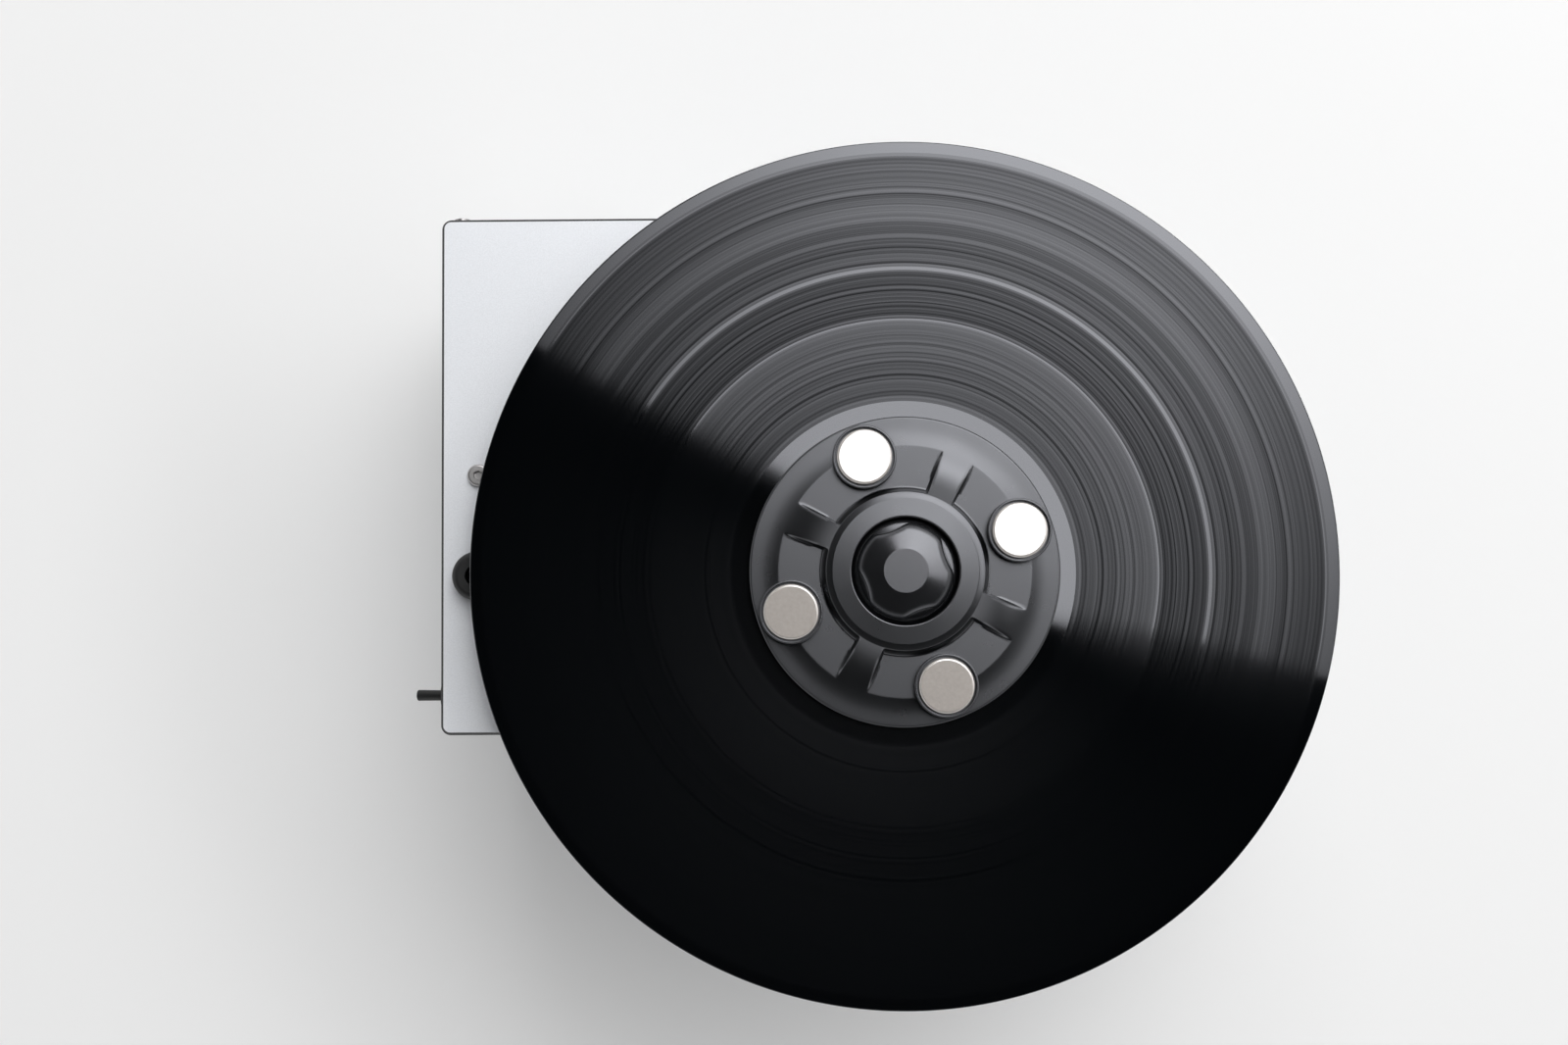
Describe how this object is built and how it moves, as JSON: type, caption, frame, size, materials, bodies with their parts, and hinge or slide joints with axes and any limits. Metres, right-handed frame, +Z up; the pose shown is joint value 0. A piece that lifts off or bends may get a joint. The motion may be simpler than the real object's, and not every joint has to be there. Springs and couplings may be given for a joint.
{
  "type": "record cleaning machine",
  "caption": "Compact wet vacuum record cleaner: silver case, turning platter, clamped record, screw-down clamp, side toggles, drain and suction-arm socket.",
  "frame": {"origin": "middle of the overall box, on the surface that the feet stand on", "axes": "+Z up, the front faces -Y, +X to the right as seen from the front"},
  "size_m": [0.3314, 0.3018, 0.2084],
  "materials": {
    "satin_aluminium": "satin anodised, fine bead blast",
    "black_core": "matte black edge",
    "plated_steel": "bright zinc",
    "screw_steel": "dull stainless",
    "nickel": "satin nickel plate",
    "bronze": "sintered bronze",
    "brass": "turned",
    "black_plastic": "fine spark-eroded grain",
    "gloss_black": "semi-gloss",
    "vinyl": "pressed vinyl",
    "label_paper": "matt printed paper, bare",
    "rubber": "moulded",
    "gear_plastic": "natural acetal",
    "tank_plastic": "translucent polyethylene",
    "motor_steel": "grey paint",
    "board_green": "solder resist"
  },
  "bodies": {
    "chassis": {"side_wrap": "satin_aluminium", "bottom_plate": "plated_steel", "rear_panel": "plated_steel", "corner_brackets": "plated_steel", "top_panel": "black_core", "top_skin": "satin_aluminium", "feet": "rubber", "m4_screws": "screw_steel", "m3_screws": "screw_steel", "bearing_housing": "plated_steel", "spindle_bushes": "bronze", "motor_bracket": "plated_steel", "motor_spacers": "plated_steel", "drive_gearbox": "motor_steel", "drive_motor": "motor_steel", "vacuum_stand": "plated_steel", "vacuum_mount": "rubber", "vacuum_motor_case": "motor_steel", "fan_shell": "plated_steel", "arm_socket": "black_plastic", "fitting_nuts": "black_plastic", "waste_tank": "tank_plastic", "tank_seal": "rubber", "tank_lid": "tank_plastic", "tank_screws": "screw_steel", "suction_tube": "rubber", "suction_hose": "rubber", "drain_hose": "rubber", "drain_fitting": "black_plastic", "power_inlet": "black_plastic", "inlet_blades": "nickel", "rocker_housing": "black_plastic", "vacuum_switch": "black_plastic", "direction_switch": "black_plastic", "switch_nuts": "screw_steel", "board_standoffs": "black_plastic", "control_board": "board_green", "board_parts": "black_plastic"},
    "platter": {"spindle_shaft": "plated_steel", "shaft_clip": "plated_steel", "drive_gear": "gear_plastic", "gear_set_screw": "screw_steel", "platter": "black_plastic", "platter_mat": "rubber"},
    "record": {"record": "vinyl", "record_labels": "label_paper"},
    "clamp": {"clamp_body": "black_plastic", "clamp_discs": "nickel", "clamp_seal": "rubber"},
    "clamp_knob": {"clamp_knob": "gloss_black", "knob_insert": "brass", "knob_retainer": "black_plastic"},
    "drive_pinion": {"drive_pinion": "gear_plastic", "pinion_shaft": "plated_steel"},
    "vacuum_rotor": {"vacuum_rotor": "plated_steel", "impeller": "satin_aluminium"},
    "vacuum_lever": {"vacuum_lever": "black_plastic"},
    "direction_lever": {"direction_lever": "black_plastic"},
    "mains_rocker": {"mains_rocker": "black_plastic"},
    "drain_plug": {"drain_plug": "rubber"}
  },
  "joints": [
    {"name": "platter_spin", "type": "hinge", "parent": "chassis", "child": "platter", "pos_m": [0.01478, 0, 0.1855], "axis": [0, 0, 1], "continuous": true},
    {"name": "record_lift", "type": "slide", "parent": "platter", "child": "record", "axis": [0, 0, 1], "range_m": [0, 0.06]},
    {"name": "clamp_lift", "type": "slide", "parent": "record", "child": "clamp", "axis": [0, 0, 1], "range_m": [0, 0.06]},
    {"name": "knob_turn", "type": "hinge", "parent": "clamp", "child": "clamp_knob", "pos_m": [0.01478, 0, 0.19], "axis": [0, 0, 1], "continuous": true},
    {"name": "pinion_spin", "type": "hinge", "parent": "chassis", "child": "drive_pinion", "pos_m": [0.0466, -0.03182, 0.112], "axis": [0, 0, 1], "continuous": true},
    {"name": "vacuum_spin", "type": "hinge", "parent": "chassis", "child": "vacuum_rotor", "pos_m": [-0.03222, 0.066, 0.04], "axis": [0, 0, 1], "continuous": true},
    {"name": "vacuum_toggle", "type": "hinge", "parent": "chassis", "child": "vacuum_lever", "pos_m": [-0.15122, -0.0434, 0.13], "axis": [0, 1, 0], "range_deg": [0, 24]},
    {"name": "direction_toggle", "type": "hinge", "parent": "chassis", "child": "direction_lever", "pos_m": [0.07718, -0.0434, 0.13], "axis": [0, -1, 0], "range_deg": [-12, 12]},
    {"name": "mains_toggle", "type": "hinge", "parent": "chassis", "child": "mains_rocker", "pos_m": [0.01878, 0.1246, 0.048], "axis": [-1, 0, 0], "range_deg": [0, 14]},
    {"name": "drain_plug_pull", "type": "slide", "parent": "chassis", "child": "drain_plug", "axis": [0, 1, 0], "range_m": [0, 0.03]}
  ],
  "couplings": [
    {"joint": "pinion_spin", "follows": "platter_spin", "ratio": -3}
  ]
}
